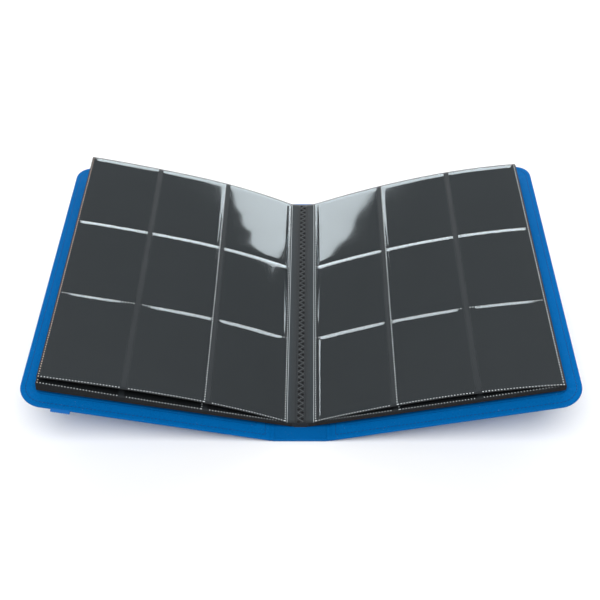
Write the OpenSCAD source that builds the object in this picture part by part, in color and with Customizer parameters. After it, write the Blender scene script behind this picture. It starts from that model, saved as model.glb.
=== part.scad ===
// Side-loading nine-pocket card binder, lying open at its middle spread.
// X runs across the spread, Y along the spine and Z up. The origin is under
// the middle of the spine, on the surface that the binder lies on.

/* [Cover] */
// How far the cover stands out past each end of the leaves
head_margin = 11; // [8:0.5:16]
// How far each board stands out past the outer edges of the leaves
fore_margin = 15.5; // [10:0.5:20]
// Distance between the two hinge lines
spine_w = 52; // [48:1:64]
// Thickness of a cover board with its skin and lining
cover_t = 2.8; // [2.4:0.1:3.4]
// Thickness of the leatherette skin
skin_t = 0.6; // [0.5:0.05:0.7]
// Thickness of the lining sheet
lining_t = 0.6; // [0.4:0.05:0.7]
// Radius of the two outer corners of each board
corner_r = 20; // [10:1:24]
// Width of the skin that is turned in over the edge of the board
hem_w = 13; // [9:1:16]
// Thickness of the skin where it is folded round the edge of the board
edge_t = 1.2; // [0.8:0.1:1.5]
// Distance of the edge stitching from the edge
stitch_inset = 4.5; // [3:0.5:7]
// Width of the edge stitching
stitch_w = 0.7; // [0.5:0.1:1]
// Height of the edge stitching above the skin
stitch_h = 0.22; // [0.15:0.01:0.25]
// Angle of each board above the table
open_tilt = 15; // [12:0.5:18]

/* [Spine] */
// Thickness of the spine with its skin and lining
spine_t = 2.8; // [2.3:0.1:3.4]
// Radius of the folded skin that forms each hinge
hinge_r = 1.25; // [1:0.05:1.4]
// Height of the hinge lines above the table
hinge_z = 1.6; // [1.5:0.05:1.8]
// Depth to which a hinge fold's web is let into the spine's skin
hinge_lap = 0.25; // [0.2:0.05:0.4]
// Gap between a hinge fold and the board that turns round it
hinge_gap = 0.45; // [0.3:0.05:0.6]
// Width of the strip that the leaves are sewn to
binding_w = 12; // [9:0.5:12.5]
// Thickness of the strip that the leaves are sewn to
binding_t = 0.9; // [0.7:0.1:1.2]

/* [Leaves] */
// Width of one pocket
pocket_w = 71; // [66:1:74]
// Height of one pocket
pocket_h = 95; // [80:1:100]
// Bare strip between the mouths of two pockets
mouth_gap = 5; // [3:0.5:7]
// Margin outside the welds
leaf_margin = 1.5; // [1:0.5:3]
// Bare strip of each leaf between its inner edge and its first weld
web_w = 6.3; // [5:0.1:8]
// Thickness of the backing fabric
backing_t = 0.28; // [0.2:0.02:0.34]
// Thickness of the clear film
film_t = 0.08; // [0.06:0.01:0.1]
// Gap between two leaves of a stack
leaf_gap = 0.12; // [0.1:0.01:0.14]
// Free gap under the top leaf of each stack
top_gap = 0.35; // [0.3:0.05:0.5]
// Shift of the leaves along the spine from the middle of the cover
leaf_shift = 2.4; // [0:0.2:4]

/* [Leaf curves] */
// How much flatter than the boards the lowest leaves lie
low_ease = 0.4; // [0.2:0.1:0.8]
// How much flatter than the lowest leaves the top leaves' bare inner strips lie
web_drop = 4.6; // [2:0.1:6]
// Extra slope of the front top leaf over the lowest, in its inner column
front_rise_1 = 8.9; // [7:0.1:10]
// Extra slope of the front top leaf over the lowest, in its middle column
front_rise_2 = 1.6; // [0:0.1:2.5]
// Extra slope of the front top leaf over the lowest, in its outer column
front_rise_3 = -0.7; // [-1.5:0.1:0]
// Extra slope of the back top leaf over the lowest, in its inner column
back_rise_1 = 5.6; // [4.5:0.1:7]
// Extra slope of the back top leaf over the lowest, in its middle column
back_rise_2 = 0.8; // [0.4:0.1:2]
// Extra slope of the back top leaf over the lowest, in its outer column
back_rise_3 = -5.6; // [-7:0.1:-5]
// Extra slope of the second front leaf over the lowest, at its outer edge
front_lift = 2.5; // [0.5:0.1:3]
// Extra slope of the second back leaf over the lowest, at its outer edge
back_lift = 0.2; // [0:0.1:0.3]
// Share of the web drop in the second leaves' bare inner strips
web_share = 0.5; // [0.45:0.05:0.8]

/* [Gutter] */
// Distance of each leaf pivot from the middle of the spine
pivot_x = 4; // [3.5:0.1:5]
// How far the sewn gutter folds reach round a pivot past the stack's height
gutter_fill = 0.3; // [0.2:0.05:0.4]
// Gap between the gutter folds and the inner edges of the leaves
gutter_gap = 0.35; // [0.3:0.05:0.5]
// Half width of the zigzag seam
zigzag_half = 2.8; // [2:0.1:3.2]
// Length of one zigzag along the spine
zigzag_pitch = 6.6; // [5:0.1:8]
// Width of the seam's thread
thread_w = 0.6; // [0.4:0.1:0.8]
// Height of the seam's thread above the folds
thread_h = 0.2; // [0.1:0.05:0.2]

/* [Elastic strap] */
// Width of the strap
strap_w = 16.5; // [12:1:22]
// Thickness of the strap
strap_t = 1.1; // [0.8:0.1:1.4]
// Distance of the strap's middle from the outer edge of the front board
strap_inset = 37.5; // [34:1:50]
// Gap between the strap and the cover
strap_gap = 0.35; // [0.3:0.05:0.5]
// How far the strap's folds stand out past the ends of the cover
strap_fold = 2.4; // [2:0.2:4]
// Length of the strap's folded ends that stays on the cover
strap_end_len = 7; // [5:1:10]
// Gap between the strap's loose middle and each folded end
strap_part = 0.3; // [0.2:0.05:0.5]

/* [Hidden] */
SIDES = ["front", "back"];
LEAVES = 10;
$fn = 64;
fine = 0.02;
// Least radius of an inset corner.
corner_least = 1;

leather = [0.0, 0.42, 0.72];
lining_blue = [0.02, 0.34, 0.6];
grey_board = [0.62, 0.6, 0.55];
black_fabric = [0.2, 0.21, 0.22];
clear_film = [0.75, 0.8, 0.82];
thread_black = [0.08, 0.08, 0.09];

leaf_len = 3 * pocket_h + 2 * leaf_margin;
cover_len = leaf_len + 2 * head_margin;
board_t = cover_t - skin_t - lining_t;
board_x = hinge_r + hinge_gap;
spine_edge = spine_w / 2 - hinge_r - hinge_lap;
binding_z = spine_t + binding_t;

// Lengths along a leaf from its inner edge to each weld and pocket mouth.
weld_in = web_w;
mouth_a = weld_in + pocket_w;
weld_12 = mouth_a + mouth_gap;
mouth_b = weld_12 + pocket_w - mouth_gap / 2;
mouth_c = mouth_b + mouth_gap;
weld_out = mouth_c + pocket_w - mouth_gap / 2;
leaf_arc = weld_out + leaf_margin;
low_slope = open_tilt - low_ease;
leaf_pitch = (backing_t + 2 * film_t) / cos(low_slope) + leaf_gap;
steps = [0, weld_in, (weld_in * 2 + mouth_a) / 3, (weld_in + mouth_a * 2) / 3, mouth_a,
         weld_12, (weld_12 * 2 + mouth_b) / 3, (weld_12 + mouth_b * 2) / 3, mouth_b,
         mouth_c, (mouth_c * 2 + weld_out) / 3, (mouth_c + weld_out * 2) / 3, weld_out,
         leaf_arc];
// Places in the list of steps where each film starts and ends.
films = [[1, 4], [5, 8], [9, 12]];
last = len(steps) - 1;

// Height of the underside of leaf i where it leaves the gutter, from the board up.
function leaf_z(i) = stack_low + leaf_pitch * (i - 1) + (i == LEAVES ? top_gap : 0);

// The stack at the gutter, its two pivots and the round ends of its folds.
stack_low = binding_z + film_t;
stack_high = leaf_z(LEAVES) + backing_t;
pivot_z = (stack_low + stack_high) / 2;
gutter_r = (stack_high - stack_low) / 2 + gutter_fill;
leaf_x = pivot_x + gutter_r + gutter_gap;
board_w = leaf_x + leaf_arc - spine_w / 2 + fore_margin;

// ---- Leaf curves ----
function rises(side) = side == "front"
    ? [front_rise_1, front_rise_2, front_rise_3]
    : [back_rise_1, back_rise_2, back_rise_3];
function lift(side) = side == "front" ? front_lift : back_lift;
column_mid = [(weld_in + weld_12) / 2, weld_12 + pocket_w / 2, weld_12 + pocket_w * 1.5];

// Extra slope of the top leaf at length t, straight between the columns' middles.
function rise(side, t) =
    let (s = rises(side), m = column_mid)
    t < weld_in ? -web_drop
    : t < m[1] ? s[0] + (s[1] - s[0]) * (t - m[0]) / (m[1] - m[0])
    : s[1] + (s[2] - s[1]) * (t - m[1]) / (m[2] - m[1]);

// Extra slope of the second leaf at length t: it grows steadily to the outer edge.
function fan(side, t) = t < weld_in ? -web_drop * web_share : lift(side) * t / leaf_arc;

// Slope of leaf number i, counted from 1 at the board. The leaves between the
// lowest and the second share out the second leaf's extra slope.
function slope(side, i, t) = low_slope
    + (i == LEAVES ? rise(side, t) : fan(side, t) * (i - 1) / (LEAVES - 2));

// Running points of leaf i's underside, at every length in steps.
function run(side, i, k = 0, p = undef) =
    let (q = k == 0 ? [leaf_x, leaf_z(i)] : p)
    k == last ? [q]
    : let (a = slope(side, i, (steps[k] + steps[k + 1]) / 2), d = steps[k + 1] - steps[k])
      concat([q], run(side, i, k + 1, q + d * [cos(a), sin(a)]));

// Unit normal of a running line at point k.
function normal(pts, k) =
    let (a = pts[max(k - 1, 0)], b = pts[min(k + 1, len(pts) - 1)], d = b - a)
    [-d[1], d[0]] / norm(d);

// Band between two offsets of a running line, from point k0 to point k1.
function band(pts, k0, k1, lo, hi) = concat(
    [for (k = [k0:k1]) pts[k] + lo * normal(pts, k)],
    [for (k = [k1:-1:k0]) pts[k] + hi * normal(pts, k)]
);

// Stands an XZ outline up and runs it along Y, centred at y = shift.
module along_y(length, shift = 0) {
    translate([0, shift + length / 2, 0])
        rotate([90, 0, 0])
            linear_extrude(length)
                children();
}

// The front half of the binder lies on the -X side.
module on_side(side) {
    if (side == "front") mirror([1, 0, 0]) children();
    else children();
}

module leaf_backing(side, i) {
    color(black_fabric)
        on_side(side)
            along_y(leaf_len, leaf_shift)
                polygon(band(run(side, i), 0, last, 0, backing_t));
}

module leaf_films(side, i) {
    pts = run(side, i);
    color(clear_film)
        on_side(side)
            for (f = films) {
                along_y(leaf_len, leaf_shift)
                    polygon(band(pts, f[0], f[1], -film_t, 0));
                along_y(leaf_len, leaf_shift)
                    polygon(band(pts, f[0], f[1], backing_t, backing_t + film_t));
            }
}

// ---- Gutter ----
module binding_strip() {
    color(black_fabric)
        translate([-binding_w / 2, leaf_shift - leaf_len / 2, spine_t])
            cube([binding_w, leaf_len, binding_t]);
}

// Half width of a fold whose underside is at z, where it meets the pivots' round ends.
function fold_half(z) =
    let (far = max(abs(z - pivot_z), abs(z + backing_t - pivot_z)))
    pivot_x + sqrt(gutter_r * gutter_r - far * far);
function fold_z(i) = binding_z + leaf_pitch * (i - 1);

module gutter_folds() {
    color(black_fabric)
        for (i = [1:LEAVES])
            translate([-fold_half(fold_z(i)), leaf_shift - leaf_len / 2, fold_z(i)])
                cube([2 * fold_half(fold_z(i)), leaf_len, backing_t]);
}

// One zigzag thread, as a band of constant width along a row of turning points.
module gutter_seam() {
    count = floor(leaf_len / zigzag_pitch) * 2;
    start = leaf_shift - count * zigzag_pitch / 4;
    rise_y = zigzag_pitch / 2;
    lean = 2 * zigzag_half / rise_y;
    edge = thread_w / 2 * sqrt(1 + lean * lean);
    reach = zigzag_half - edge;
    function spot(k, side_x) = [(k % 2 == 0 ? 1 : -1) * reach + side_x, start + k * rise_y];
    color(thread_black)
        translate([0, 0, fold_z(LEAVES) + backing_t])
            linear_extrude(thread_h)
                polygon(concat(
                    [for (k = [0:count]) spot(k, edge)],
                    [for (k = [count:-1:0]) spot(k, -edge)]
                ));
}

// ---- Spine ----
module spine_slab(z, t, inset) {
    translate([-spine_edge + inset, -cover_len / 2 + inset, z])
        cube([2 * (spine_edge - inset), cover_len - 2 * inset, t]);
}

module spine_skin() {
    color(leather)
        difference() {
            spine_slab(0, spine_t, 0);
            spine_slab(skin_t, spine_t, edge_t);
        }
}

module spine_board() {
    color(grey_board)
        spine_slab(skin_t, spine_t - skin_t - lining_t, edge_t + fine);
}

module spine_lining() {
    color(lining_blue)
        spine_slab(spine_t - lining_t, lining_t, edge_t + fine);
}

// The skin folded into a bead along a hinge line, with its web to the spine.
module hinge(side) {
    color(leather)
        on_side(side) {
            translate([spine_w / 2, cover_len / 2, hinge_z])
                rotate([90, 0, 0])
                    cylinder(r = hinge_r, h = cover_len);
            translate([spine_edge, -cover_len / 2, hinge_z - hinge_r / 2])
                cube([spine_w / 2 - spine_edge, cover_len, hinge_r]);
        }
}

// ---- Boards ----
// Outline of a board, inset from its edge, with round outer corners.
module board_outline(inset) {
    r = max(corner_r - inset, corner_least);
    x0 = board_x + inset;
    x1 = board_w - inset;
    half = cover_len / 2 - inset;
    union() {
        translate([x0, -half])
            square([x1 - r - x0, 2 * half]);
        translate([x0, -half + r])
            square([x1 - x0, 2 * (half - r)]);
        for (y = [-half + r, half - r])
            translate([x1 - r, y])
                circle(r);
    }
}

module board_slab(z, t, inset) {
    translate([0, 0, z])
        linear_extrude(t)
            board_outline(inset);
}

// Carries a board from its own frame, with its hinge line at the origin, to its place.
module on_hinge(side) {
    on_side(side)
        translate([spine_w / 2, 0, hinge_z])
            rotate([0, -open_tilt, 0])
                children();
}

module board_skin(side) {
    color(leather)
        on_hinge(side)
            difference() {
                board_slab(-cover_t / 2, cover_t, 0);
                board_slab(-cover_t / 2 + skin_t, board_t, edge_t);
                board_slab(board_t / 2 - fine, cover_t, hem_w);
            }
}

module board_core(side) {
    color(grey_board)
        on_hinge(side)
            board_slab(-cover_t / 2 + skin_t, board_t, edge_t + fine);
}

module board_lining(side) {
    color(lining_blue)
        on_hinge(side)
            board_slab(cover_t / 2 - lining_t, lining_t, hem_w + fine);
}

module stitch_ring(z) {
    translate([0, 0, z])
        linear_extrude(stitch_h)
            difference() {
                board_outline(stitch_inset - stitch_w / 2);
                board_outline(stitch_inset + stitch_w / 2);
            }
}

module board_stitching(side) {
    color(leather)
        on_hinge(side) {
            stitch_ring(cover_t / 2);
            stitch_ring(-cover_t / 2 - stitch_h);
        }
}

// ---- Elastic strap ----
strap_x = board_w - strap_inset - strap_w / 2;
strap_z = -cover_t / 2 - strap_gap - strap_t;
strap_half = cover_len / 2 - strap_end_len;
// Height at which each end of the strap is tucked into the edge of the cover.
tuck_z = board_t / 2;

module strap_band() {
    color(leather)
        on_hinge("front")
            translate([strap_x, -strap_half + strap_part, strap_z])
                cube([strap_w, 2 * (strap_half - strap_part), strap_t]);
}

// Each end lies on the cover, folds round its edge and is tucked into the hem.
module strap_ends() {
    color(leather)
        on_hinge("front")
            for (way = [-1, 1])
                scale([1, way, 1])
                    translate([strap_x, strap_half, 0]) {
                        translate([0, 0, strap_z])
                            cube([strap_w, strap_end_len + strap_fold, strap_t]);
                        translate([0, strap_end_len + strap_fold - strap_t, strap_z])
                            cube([strap_w, strap_t, tuck_z - strap_z]);
                        translate([0, strap_end_len, tuck_z - strap_t])
                            cube([strap_w, strap_fold, strap_t]);
                    }
}

spine_skin();
spine_board();
spine_lining();
hinge("front");  // front_hinge
hinge("back");  // back_hinge
binding_strip();
gutter_folds();
gutter_seam();
board_skin("front");  // front_skin
board_core("front");  // front_board
board_lining("front");  // front_lining
board_stitching("front");  // front_stitching
board_skin("back");  // back_skin
board_core("back");  // back_board
board_lining("back");  // back_lining
board_stitching("back");  // back_stitching
strap_band();
strap_ends();
for (side = SIDES)
    for (i = [1:LEAVES]) {
        leaf_backing(side, i);
        leaf_films(side, i);
    }
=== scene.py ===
# %% [markdown]
# # A nine-pocket card binder, open at its middle
# This lesson dresses a CAD model of a side-loading card binder. The CAD model is
# the frame: it says where every piece is and how it moves. Each cell makes one
# piece or one finish of the real binder: leatherette covers, turned-in hems,
# stitches, pocket leaves with clear film, the sewn gutter and the elastic strap.
# Shapes are worked out in millimetres with numpy and put into the mesh in metres.

# %% Load the frame
import bmesh
import bpy
import numpy as np
from mathutils import Matrix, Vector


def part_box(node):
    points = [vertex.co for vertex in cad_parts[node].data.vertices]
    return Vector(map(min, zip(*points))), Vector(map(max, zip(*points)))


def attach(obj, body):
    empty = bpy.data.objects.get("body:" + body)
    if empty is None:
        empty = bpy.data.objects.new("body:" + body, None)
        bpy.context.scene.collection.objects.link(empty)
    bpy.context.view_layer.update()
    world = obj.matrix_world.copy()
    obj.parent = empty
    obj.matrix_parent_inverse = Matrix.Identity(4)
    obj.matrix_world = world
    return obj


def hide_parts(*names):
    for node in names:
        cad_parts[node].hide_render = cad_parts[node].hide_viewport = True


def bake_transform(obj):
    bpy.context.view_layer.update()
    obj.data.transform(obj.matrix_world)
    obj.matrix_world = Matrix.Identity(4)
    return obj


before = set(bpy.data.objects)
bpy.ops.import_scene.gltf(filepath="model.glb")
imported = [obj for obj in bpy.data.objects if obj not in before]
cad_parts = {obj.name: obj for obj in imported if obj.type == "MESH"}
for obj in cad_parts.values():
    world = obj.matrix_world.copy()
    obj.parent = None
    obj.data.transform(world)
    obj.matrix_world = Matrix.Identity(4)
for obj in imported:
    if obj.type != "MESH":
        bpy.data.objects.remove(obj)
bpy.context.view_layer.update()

# %% [markdown]
# ## Camera
# The camera comes first, because every look is judged through it. It stands in
# front of the binder's near edge and looks down on the spread at about 49 degrees.
# A camera looks along its own -Z axis, so its matrix is built from the three
# directions right, up and backward.

# %% Camera
def aim_camera(place_mm, down_deg, left_deg, roll_deg, lens_mm):
    """A camera at place_mm. Forward points down_deg below the horizon and left_deg
    left of +Y. Right is forward crossed with straight up. Both right and up are
    then turned by roll_deg about forward."""
    down, left, roll = np.radians([down_deg, left_deg, roll_deg])
    level = np.cos(down)
    forward = np.array([-np.sin(left) * level, np.cos(left) * level, -np.sin(down)])
    right = np.cross(forward, [0, 0, 1])
    right /= np.linalg.norm(right)
    up = np.cross(right, forward)
    c, s = np.cos(roll), np.sin(roll)
    right, up = right * c + up * s, up * c - right * s
    cam = bpy.data.cameras.new("camera")
    cam.lens, cam.sensor_width = lens_mm, 36.0
    cam.clip_start, cam.clip_end = 0.02, 30.0
    holder = bpy.data.objects.new("camera", cam)
    bpy.context.scene.collection.objects.link(holder)
    matrix = np.eye(4)
    matrix[:3, 0], matrix[:3, 1], matrix[:3, 2] = right, up, -forward
    matrix[:3, 3] = np.array(place_mm) / 1000
    holder.matrix_world = Matrix([list(map(float, row)) for row in matrix])
    return holder


camera = aim_camera(
    place_mm=(14.0, -574.7, 672.1), down_deg=48.80, left_deg=1.574, roll_deg=-1.26, lens_mm=52.42)
bpy.context.scene.camera = camera
print("camera at", [round(x, 3) for x in camera.location])

# %% [markdown]
# ## Helpers that turn numpy grids into meshes
# Almost every piece here is a surface P(u, v): two parameters in, one point out.
# The points are worked out as whole arrays, and the faces are just neighbours in
# the grid. A thin sheet is two such grids with a rim between them, and a repeated
# shape, such as a stitch, is one small template placed many times in one go.

# %% Mesh helpers
def quads_of(rows, columns, wrap_columns=False):
    """Four neighbouring grid points make each face, in an order whose normal is the
    row direction crossed with the column direction. In a wrapped grid the last
    column is joined to the first."""
    row = np.arange(rows - 1)[:, None] * columns
    c = np.arange(columns if wrap_columns else columns - 1)[None, :]
    after = (c + 1) % columns
    return np.stack([row + c, row + columns + c, row + columns + after, row + after], -1).reshape(-1, 4)


def put_mesh(name, points_mm, blocks, materials, marks=None, smooth=True, bare=None):
    """Points in millimetres go into one mesh in metres. Faces come in blocks: arrays
    with one face to a row. Marks give each face the number of its material, and the
    last argument gives each point a number that the cloth's colour reads: lighter on
    strips without film, and held back in the gutter as painted shade."""
    mesh = bpy.data.meshes.new(name)
    counts = np.concatenate([np.full(len(block), block.shape[1]) for block in blocks])
    corners = np.concatenate([block.ravel() for block in blocks])
    mesh.vertices.add(len(points_mm))
    mesh.vertices.foreach_set("co", (points_mm / 1000).astype(np.float32).ravel())
    mesh.loops.add(len(corners))
    mesh.loops.foreach_set("vertex_index", corners.astype(np.int32))
    mesh.polygons.add(len(counts))
    mesh.polygons.foreach_set("loop_start", (np.cumsum(counts) - counts).astype(np.int32))
    mesh.update(calc_edges=True)
    mesh.polygons.foreach_set("use_smooth", np.full(len(counts), smooth))
    for material in materials:
        mesh.materials.append(material)
    if marks is not None:
        mesh.polygons.foreach_set("material_index", marks.astype(np.int32))
    if bare is not None:
        values = mesh.attributes.new("bare", "FLOAT", "POINT").data
        values.foreach_set("value", bare.astype(np.float32))
    obj = bpy.data.objects.new(name, mesh)
    bpy.context.scene.collection.objects.link(obj)
    return obj


def turn_outward(obj):
    """Makes all faces of a closed piece point outward."""
    bm = bmesh.new()
    bm.from_mesh(obj.data)
    bmesh.ops.recalc_face_normals(bm, faces=bm.faces)
    bm.to_mesh(obj.data)
    bm.free()
    return obj


def two_layers(low, high, flip):
    """Two grids of the same shape become a closed sheet: the upper grid, the lower
    one turned over, and a rim of quads that joins their borders. Returns points, one
    block of faces and a mark of 1 on the faces of the rim."""
    rows, columns = low.shape[:2]
    top = quads_of(rows, columns)
    n = rows * columns
    edge = np.concatenate([
        np.arange(columns), np.arange(1, rows) * columns + columns - 1,
        np.arange(columns - 2, -1, -1) + (rows - 1) * columns, np.arange(rows - 2, 0, -1) * columns])
    following = np.roll(edge, -1)
    rim = np.stack([edge, following, following + n, edge + n], -1)
    faces = np.concatenate([top + n, top[:, ::-1], rim[:, ::-1]])
    if flip:
        faces = faces[:, ::-1]
    marks = np.concatenate([np.zeros(2 * len(top)), np.ones(len(rim))]).astype(int)
    return np.concatenate([low.reshape(-1, 3), high.reshape(-1, 3)]), [faces], marks


def scatter(template, faces, places, along, outward):
    """One template at many places. Its x axis turns to along, its z axis to outward
    and its y axis to their cross product, all as one array product."""
    along = along / np.linalg.norm(along, axis=1, keepdims=True)
    outward = outward - along * (along * outward).sum(1, keepdims=True)
    outward = outward / np.linalg.norm(outward, axis=1, keepdims=True)
    frames = np.stack([along, np.cross(outward, along), outward], 1)
    points = places[:, None, :] + template[None] @ frames
    step = np.arange(len(places))[:, None, None] * len(template)
    return points.reshape(-1, 3), [(f[None] + step).reshape(-1, f.shape[1]) for f in faces]


def join_parts(parts):
    """Several parts, each of points, blocks and one mark, as one. The corner numbers
    of a part go up by the count of all points before it."""
    points, blocks, marks, start = [], [], [], 0
    for here, faces, mark in parts:
        points.append(here)
        blocks += [block + start for block in faces]
        marks += [np.full(len(block), mark) for block in faces]
        start += len(here)
    return np.concatenate(points), blocks, np.concatenate(marks)


def ripple(x, y, seed, size, count=5):
    """A smooth field of about -1 to 1: a few sine waves in seeded directions, whose
    wavelengths are near size."""
    rng = np.random.default_rng(seed)
    total = np.zeros(np.broadcast(x, y).shape)
    for _ in range(count):
        angle, phase = rng.uniform(0, np.pi), rng.uniform(0, 2 * np.pi)
        wave = 2 * np.pi / (size * rng.uniform(0.6, 1.6))
        total += np.sin(wave * (x * np.cos(angle) + y * np.sin(angle)) + phase)
    return total / count ** 0.5 / 1.4


def knee(x, power=4):
    """Rises like x from nought and levels off at 1 with a knee near x = 1. A higher
    power makes the knee sharper."""
    x = np.maximum(x, 0)
    return x / (1 + x ** power) ** (1 / power)


print("helpers ready")

# %% [markdown]
# ## Shared effects as node groups
# Three effects turn up in more than one finish, so each is a node group with
# named inputs: a pebbled grain for leatherette, a woven grid for cloth, and
# handling marks that vary colour and roughness. A group only puts out numbers
# that vary over the surface. The shader itself stays in each material.

# %% Node group tools
def new_group(name, inputs, outputs):
    """An empty node group with named number inputs and outputs."""
    group = bpy.data.node_groups.new(name, "ShaderNodeTree")
    for label, value in inputs:
        socket = group.interface.new_socket(label, in_out="INPUT", socket_type="NodeSocketFloat")
        socket.default_value = value
    for label in outputs:
        group.interface.new_socket(label, in_out="OUTPUT", socket_type="NodeSocketFloat")
    return group, group.nodes.new("NodeGroupInput"), group.nodes.new("NodeGroupOutput")


def math_node(tree, operation, a, b=None, c=None, clamp=False):
    """One Math node. a, b and c are numbers or sockets."""
    node = tree.nodes.new("ShaderNodeMath")
    node.operation, node.use_clamp = operation, clamp
    for socket, value in zip(node.inputs, (a, b, c)):
        if isinstance(value, (int, float)):
            socket.default_value = value
        elif value is not None:
            tree.links.new(value, socket)
    return node.outputs[0]


def texture(tree, kind, vector, scale, **settings):
    """A procedural texture node on the given coordinates. scale is a number or socket."""
    node = tree.nodes.new(kind)
    tree.links.new(vector, node.inputs["Vector"])
    if isinstance(scale, (int, float)):
        node.inputs["Scale"].default_value = scale
    else:
        tree.links.new(scale, node.inputs["Scale"])
    for key, value in settings.items():
        if key in node.inputs:
            node.inputs[key].default_value = value
        else:
            setattr(node, key, value)
    return node


def object_coordinates(tree):
    """The place on the piece in metres, which stays with the piece as it moves."""
    return tree.nodes.new("ShaderNodeTexCoord").outputs["Object"]


# %% Pebbled grain group
def make_grain():
    """Cells of a Voronoi texture with rounded tops, crossed by finer noise. Height is
    one minus the squared distance to the cell's middle, plus a share of noise."""
    group, source, sink = new_group(
        "pebbled grain", [("Scale", 900.0), ("Fine Share", 0.3)], ["Height", "Valleys"])
    place = object_coordinates(group)
    cells = texture(
        group, "ShaderNodeTexVoronoi", place, source.outputs["Scale"], feature="SMOOTH_F1", Smoothness=0.35)
    finer = math_node(group, "MULTIPLY", source.outputs["Scale"], 2.7)
    fine = texture(group, "ShaderNodeTexNoise", place, finer, Detail=3.0)
    squared = math_node(group, "POWER", cells.outputs["Distance"], 2.0)
    dome = math_node(group, "SUBTRACT", 1.0, squared, clamp=True)
    share = math_node(group, "MULTIPLY", fine.outputs["Fac"], source.outputs["Fine Share"])
    group.links.new(math_node(group, "ADD", dome, share), sink.inputs["Height"])
    group.links.new(math_node(group, "MULTIPLY", squared, 1.6, clamp=True), sink.inputs["Valleys"])
    return group


grain = make_grain()

# %% Woven grid group
def make_weave():
    """Two rows of sine bands at right angles, multiplied so that threads pass over
    and under. Height is the larger of the two bands, and noise frays it."""
    group, source, sink = new_group("woven grid", [("Threads", 1400.0), ("Fray", 0.4)], ["Height", "Gaps"])
    place = object_coordinates(group)
    split = group.nodes.new("ShaderNodeSeparateXYZ")
    group.links.new(place, split.inputs[0])
    bands = []
    for axis in ("X", "Y"):
        full_turns = math_node(group, "MULTIPLY", source.outputs["Threads"], 6.2832)
        turned = math_node(group, "MULTIPLY", split.outputs[axis], full_turns)
        bands.append(math_node(group, "MULTIPLY_ADD", math_node(group, "SINE", turned), 0.5))
    higher = math_node(group, "MAXIMUM", bands[0], bands[1])
    finer = math_node(group, "MULTIPLY", source.outputs["Threads"], 1.3)
    fuzz = texture(group, "ShaderNodeTexNoise", place, finer, Detail=4.0)
    frayed = math_node(group, "MULTIPLY", fuzz.outputs["Fac"], source.outputs["Fray"])
    group.links.new(math_node(group, "ADD", higher, frayed), sink.inputs["Height"])
    group.links.new(math_node(group, "SUBTRACT", 0.6, higher, clamp=True), sink.inputs["Gaps"])
    return group


weave = make_weave()

# %% Handling marks group
def make_handling():
    """Large soft clouds for uneven dye, and small sparse specks of dust. Clouds run
    from 0 to 1 and specks are 0 nearly everywhere."""
    group, source, sink = new_group(
        "handling marks", [("Cloud Scale", 18.0), ("Speck Scale", 900.0)], ["Clouds", "Specks"])
    place = object_coordinates(group)
    cloud = texture(
        group, "ShaderNodeTexNoise", place, source.outputs["Cloud Scale"], Detail=5.0, Roughness=0.55)
    speck = texture(group, "ShaderNodeTexNoise", place, source.outputs["Speck Scale"], Detail=1.0)
    above = math_node(group, "SUBTRACT", speck.outputs["Fac"], 0.70, clamp=True)
    rare = math_node(group, "MULTIPLY", above, 9.0, clamp=True)
    group.links.new(cloud.outputs["Fac"], sink.inputs["Clouds"])
    group.links.new(rare, sink.inputs["Specks"])
    return group


handling = make_handling()
print("node groups:", [g.name for g in bpy.data.node_groups])

# %% [markdown]
# ## Finishes
# Each finish starts from one Principled shader. Its plain numbers are set on its
# own sockets. Only colour, roughness and the bump's height come through nodes.

# %% Material tools
def new_finish(name, colour, roughness, **numbers):
    """A material with one Principled shader whose plain numbers are set."""
    material = bpy.data.materials.new(name)
    material.use_nodes = True
    tree = material.node_tree
    shader = tree.nodes["Principled BSDF"]
    shader.inputs["Base Color"].default_value = (*colour, 1)
    shader.inputs["Roughness"].default_value = roughness
    for key, value in numbers.items():
        shader.inputs[key.replace("_", " ")].default_value = value
    return material, tree, shader


def place_group(tree, group, **values):
    """One copy of a shared effect with its own values."""
    node = tree.nodes.new("ShaderNodeGroup")
    node.node_tree = group
    for key, value in values.items():
        node.inputs[key.replace("_", " ")].default_value = value
    return node


def blend_colours(tree, factor, first, second):
    """Mixes two colours, each a tuple or a socket, by a factor socket."""
    node = tree.nodes.new("ShaderNodeMix")
    node.data_type = "RGBA"
    for socket, value in ((node.inputs[6], first), (node.inputs[7], second)):
        if isinstance(value, tuple):
            socket.default_value = (*value, 1)
        else:
            tree.links.new(value, socket)
    tree.links.new(factor, node.inputs[0])
    return node.outputs[2]


def add_bump(tree, shader, height, depth_mm):
    """Tilts the normal by a height that runs from 0 to 1 over depth_mm."""
    node = tree.nodes.new("ShaderNodeBump")
    node.inputs["Strength"].default_value = 1.0
    node.inputs["Distance"].default_value = depth_mm / 1000
    tree.links.new(height, node.inputs["Height"])
    tree.links.new(node.outputs[0], shader.inputs["Normal"])
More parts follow.
